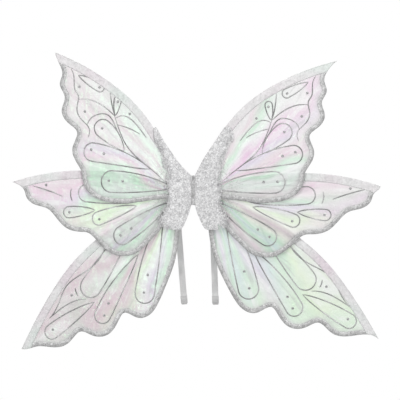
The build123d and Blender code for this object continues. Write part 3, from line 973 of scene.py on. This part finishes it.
def make_pad():
    """The back pad: a stuffed cushion, blown up by simulation, quilted once and piped round its edge."""
    low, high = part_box("back_pad")
    piece = own_copy("back_pad_cushion", "back_pad")
    middle, size = (low + high) / 2, high - low
    for vertex in piece.data.vertices:
        offset = vertex.co - middle
        vertex.co = middle + Vector((offset.x * 0.95, offset.y * 0.72, offset.z * 0.95))
    remesh = piece.modifiers.new("remesh", "REMESH")
    remesh.mode, remesh.voxel_size = "VOXEL", 2.0 * MM
    apply_modifiers(piece)
    start = np.array([v.co for v in piece.data.vertices])
    inflate(piece)
    span = np.array([size.x, size.z]) / 2
    for vertex, was in zip(piece.data.vertices, start):
        place = was + np.clip(np.array(vertex.co) - was, -PAD_MOST, PAD_MOST)
        across = (place[[0, 2]] - np.array([middle.x, middle.z])) / span
        crown = max(0.0, 1 - across[0] ** 2) * max(0.0, 1 - across[1] ** 2)
        seam = math.exp(-((place[2] - middle.z) / (2.6 * MM)) ** 2)
        wrinkle = float(gradient_noise(place[0] * 90, place[1] * 60, place[2] * 90))
        if place[1] > middle.y:
            place[1] += (2.4 * crown - 2.0 * seam * (0.35 + crown) + 0.4 * wrinkle * (1 - crown)) * MM
        place[1] = max(place[1], low.y + 0.1 * MM)
        vertex.co = place
    smooth = piece.modifiers.new("smooth", "SUBSURF")
    smooth.levels = smooth.render_levels = 1
    apply_modifiers(piece)
    piece.data.shade_smooth()
    finish_piece(piece, "harness", "pad_fabric", PAD, "back_pad")
    loop = rounded_loop(size.x / 2 - PIPING_INSET, size.z / 2 - PIPING_INSET, PIPING_CORNER, middle)
    attach(tube("back_pad_piping", loop, PIPING_RADIUS), "harness", PIPING)


def make_filler(side):
    """The foam under a root cover, its edges rounded."""
    piece = own_copy(f"{side}_root_filler", f"{side}_root_core")
    bevel = piece.modifiers.new("bevel", "BEVEL")
    bevel.width, bevel.segments, bevel.limit_method = 1.2 * MM, 3, "ANGLE"
    apply_modifiers(piece)
    piece.data.shade_smooth()
    finish_piece(piece, f"{side}_half", "foam", FOAM, f"{side}_root_core")


STRAP_DROP = 282.8 * MM  # from the bar to the middle of the lower turn
STRAP_TOP, STRAP_TURN = 3.0 * MM, 12.6 * MM  # to the middle of the webbing
STRAP_LOW = -(STRAP_DROP + STRAP_TURN)
STRAP_HALF, STRAP_THICK = 7.4 * MM, 1.2 * MM
STRAP_BAR = (44 * MM, -2.6 * MM, 24 * MM)
STRAP_LEAN = {"left": 4.5, "right": 2.0}  # degrees
STRAP_BACK = 2.0
STRAP_STEPS, STRAND_STEPS = 14, 45  # of the path round the bar, and along each strand
STRAP_JOIN = slice(23, 29)  # the points of the path where the ends are joined, on the rear strand
STRAP_COLUMNS = 31
SELVEDGE = 0.93  # where the webbing's flat part ends, as a share of its half width
FOLD_HEIGHT = 21 * MM  # of the folded elastic at the loop's lower end


def arc(radius, height, start, sweep, steps):
    """Points of an arc in the strap's side view, turning from the start angle towards smaller ones."""
    turn = start - sweep * np.arange(steps + 1) / steps
    return np.column_stack([radius * np.cos(turn), height + radius * np.sin(turn)])


def strap_path():
    """The webbing's middle line, seen from its side: the (y, z) points round the loop."""
    slope = math.asin((STRAP_TURN - STRAP_TOP) / STRAP_DROP)
    over = arc(STRAP_TOP, 0.0, math.pi - slope, math.pi - 2 * slope, STRAP_STEPS)
    under = arc(STRAP_TURN, -STRAP_DROP, slope, math.pi + 2 * slope, 2 * STRAP_STEPS)
    share = np.linspace(0, 1, STRAND_STEPS + 1)[1:-1, None]
    rear = over[-1] + (under[0] - over[-1]) * share
    front = under[-1] + (over[0] - under[-1]) * share
    return np.concatenate([over, rear, under, front])


def strap_place(side, across, y, z):
    """A point of the loop's own frame, turned and hung from its bar."""
    back, lean = math.radians(STRAP_BACK), math.radians(-STRAP_LEAN[side])
    y, z = y * math.cos(back) - z * math.sin(back), y * math.sin(back) + z * math.cos(back)
    x, z = across * math.cos(lean) + z * math.sin(lean), -across * math.sin(lean) + z * math.cos(lean)
    return (SIDES[side] * STRAP_BAR[0] + x, STRAP_BAR[1] + y, STRAP_BAR[2] + z)


def webbing(name, side, path, closed=False, lift=STRAP_THICK * 0.96, half_width=STRAP_HALF):
    """A ribbed band along a path in the loop's own frame, by default laid on top of the webbing there."""
    if closed:
        ahead = np.roll(path, -1, axis=0) - np.roll(path, 1, axis=0)
    else:
        ahead = np.gradient(path, axis=0)
    ahead /= np.linalg.norm(ahead, axis=1)[:, None]
    out = np.column_stack([-ahead[:, 1], ahead[:, 0]])
    along = np.concatenate([[0], np.cumsum(np.linalg.norm(np.diff(path, axis=0), axis=1))])
    columns = np.linspace(-1, 1, STRAP_COLUMNS)
    section = [(c, 1) for c in columns] + [(c, -1) for c in columns[::-1]]
    points, flat = [], []
    for i, (y, z) in enumerate(path):
        wave = 0.12 * MM * math.sin(along[i] * 60)
        pulled = half_width * (1 - 0.2 * math.exp(-((z - STRAP_LOW) / (2.4 * MM)) ** 2))
        for c, face in section:
            past = max(0.0, abs(c) - SELVEDGE) / (1 - SELVEDGE)
            edge = max(math.sqrt(max(0.0, 1 - past ** 2)), 0.15)
            rib = 0.09 * MM * math.cos(c * math.pi * 5) if abs(c) < SELVEDGE else 0.0
            offset = lift + face * (STRAP_THICK / 2 * edge + rib - 0.06 * MM)
            place = np.array([y, z]) + out[i] * offset
            points.append(strap_place(side, c * pulled + wave, *place))
            flat.append((c * half_width, along[i]))
    return new_piece(name, points, ring_faces(0, len(path), len(section), closed), np.array(flat))


def join_stitches(side, a, b):
    """The sewn box with a cross in it that holds the webbing's joined ends, from a to b of its path."""
    long = np.linalg.norm(b - a)
    ahead = (b - a) / long
    out = np.array([-ahead[1], ahead[0]])
    reach, first, last = STRAP_HALF - 1.8 * MM, 1.8 * MM, long - 1.8 * MM
    corners = np.array([(-reach, first), (reach, first), (reach, last), (-reach, last)])
    flat, faces = [], []
    for p, q in ((0, 1), (1, 2), (2, 3), (3, 0), (0, 2), (1, 3)):
        p, step = corners[p], corners[q] - corners[p]
        count = int(np.linalg.norm(step) / (2.4 * MM))
        for i in range(count):
            start, end = p + step * (i + 0.15) / count, p + step * (i + 0.85) / count
            stitch_bar(flat, faces, start, end, 0.28 * MM, 0.25, 0.4, STRAP_THICK * 1.5)
    points = [strap_place(side, across, *(a + ahead * v + out * height)) for across, v, height in flat]
    return new_piece(f"{side}_strap_stitches", points, reverse(faces))


def make_strap(side):
    """One arm loop of elastic, folded over at its lower end, with its ends joined behind the back plate."""
    path, body = strap_path(), f"{side}_strap_loop"
    low = np.flatnonzero(path[:, 1] < path[:, 1].min() + FOLD_HEIGHT)
    # the fold is the same elastic, drawn darker as painted shade
    fold = webbing(f"{side}_strap_fold", side, path[low[0]:low[-1] + 1], half_width=STRAP_HALF + 0.7 * MM)
    finish_piece(fold, body, "elastic", SHADED_ELASTIC_FOLD)
    loop = webbing(f"{side}_strap_webbing", side, path, closed=True, lift=0.0)
    finish_piece(loop, body, "elastic", ELASTIC, f"{side}_strap")
    join = path[STRAP_JOIN]
    finish_piece(webbing(f"{side}_strap_join", side, join), body, "elastic", ELASTIC)
    attach(join_stitches(side, join[0], join[-1]), body, THREAD)


SPINE_ROWS, SPINE_COLUMNS = 90, 24


def make_spine():
    """The tape down the seam, its middle darkened with painted shade: soft rounded edges, its middle drawn in
    where the halves fold.
    """
    low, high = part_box("spine_tape")
    middle, half_size = (low + high) / 2, (high - low) / 2
    points = []
    for i in range(SPINE_ROWS + 1):
        z = low.z + (high.z - low.z) * i / SPINE_ROWS
        narrow = 0.8 + 0.2 * min(1.0, min(z - low.z, high.z - z) / (3 * MM))
        for turn in turns(SPINE_COLUMNS):
            x = math.copysign(abs(math.cos(turn)) ** 0.45, math.cos(turn))
            y = math.copysign(abs(math.sin(turn)) ** 0.6, math.sin(turn))
            pinch = 1 - 0.3 * math.exp(-(x * 3.2) ** 2)
            ruck = 0.2 * MM * float(gradient_noise(x * 1.5, 0.0, z * 260))
            place_x = middle.x + x * half_size.x * 0.96 * narrow
            points.append((place_x, middle.y + y * half_size.y * 0.9 * pinch + ruck, z))
    faces = ring_faces(0, SPINE_ROWS + 1, SPINE_COLUMNS)
    piece = new_piece("spine_tape_binding", points, faces, np.array(points)[:, [0, 2]])
    finish_piece(piece, "harness", "band_fabric", SPINE, "spine_tape")


make_spine()
make_pad()
for side in SIDES:
    make_strap(side)
    make_filler(side)

FINISHES = {  # of the CAD nodes that stay as they are, by the ends of their names
    "rod": WIRE, "spacers": FOAM, "pivot_rivet": RIVET, "strap_bars": WIRE, "root_plate": BOARD,
    "back_plate": BOARD, "spine_block": BOARD,
}
for name, node in frame["nodes"].items():
    for ending, material in FINISHES.items():
        if name.endswith(ending) and not node.hide_render:
            node.data.materials.clear()
            node.data.materials.append(material)


# ------------ floor, light and camera
FLOOR_RADIUS, FLOOR_HEIGHT, FLOOR_CORNERS = 16.0, -1.5, 128
LIGHTS = {  # place, size and power of each soft lamp, all aimed at the origin
    "left_strip": ((-1.5, -1.9, 0.9), (0.25, 1.6), 15),
    "right_strip": ((1.7, -1.7, 0.2), (0.25, 1.4), 11),
    "top_strip": ((0.1, -1.2, 1.9), (1.6, 0.25), 12),
    "rear_strip": ((0.3, 2.0, 1.2), (1.4, 0.5), 17),
    "rear_left_strip": ((-1.6, 1.7, 0.2), (0.3, 1.4), 6),
    "rear_right_strip": ((1.6, 1.7, 0.2), (0.3, 1.4), 6),
}
CAMERA_PLACE, CAMERA_LENS, CAMERA_REACH = (0.0168, -16.08, -0.020), 600, 200


def make_floor():
    around = turns(FLOOR_CORNERS)
    rim = [(FLOOR_RADIUS * math.cos(turn), FLOOR_RADIUS * math.sin(turn), FLOOR_HEIGHT) for turn in around]
    floor = new_piece("studio_floor", rim, [tuple(range(FLOOR_CORNERS))])
    floor.data.materials.append(plain_material("pale_floor", grey(0.98), 0.7, grain=60.0, depth=0.2 * MM))


def make_world():
    """Cloudy light all round, and a white backdrop that is a little greyer away from the front view."""
    world = bpy.data.worlds.new("studio")
    bpy.context.scene.world = world
    world.use_nodes = True
    g = Graph(world.node_tree)
    place = g.add("ShaderNodeTexCoord").outputs["Generated"]
    cloud = g.add("ShaderNodeTexNoise", Vector=place, Scale=2.4, Detail=1.0).outputs["Fac"]
    light = g.between(cloud, 0.38, 0.62, 0.26, 0.68)
    backdrop = g.between(g.axis(place, "Y"), 0.8, 0.98, 0.82, 1.0)
    seen = g.add("ShaderNodeLightPath").outputs["Is Camera Ray"]
    strength = g.add("ShaderNodeMix", {"data_type": "FLOAT"}, in0=seen, in2=light, in3=backdrop)
    g.set(g.nodes["Background"], Color=(1, 1, 1, 1), Strength=strength.outputs[0])


def add_light(name, place, size, power):
    light = bpy.data.lights.new(name, "AREA")
    light.shape, (light.size, light.size_y), light.energy = "RECTANGLE", size, power
    lamp = bpy.data.objects.new(name, light)
    lamp.location = place
    lamp.rotation_mode = "QUATERNION"
    lamp.rotation_quaternion = (-Vector(place)).to_track_quat("-Z", "Y")
    bpy.context.scene.collection.objects.link(lamp)


def make_camera():
    camera = bpy.data.cameras.new("camera")
    camera.lens, camera.sensor_width, camera.clip_end = CAMERA_LENS, 36, CAMERA_REACH
    seat = bpy.data.objects.new("camera", camera)
    seat.location = CAMERA_PLACE
    seat.rotation_euler = (math.pi / 2, 0, 0)
    bpy.context.scene.collection.objects.link(seat)
    bpy.context.scene.camera = seat


make_floor()
make_world()
for name, settings in LIGHTS.items():
    add_light(name, *settings)
make_camera()
bpy.context.scene.view_settings.view_transform = "Standard"
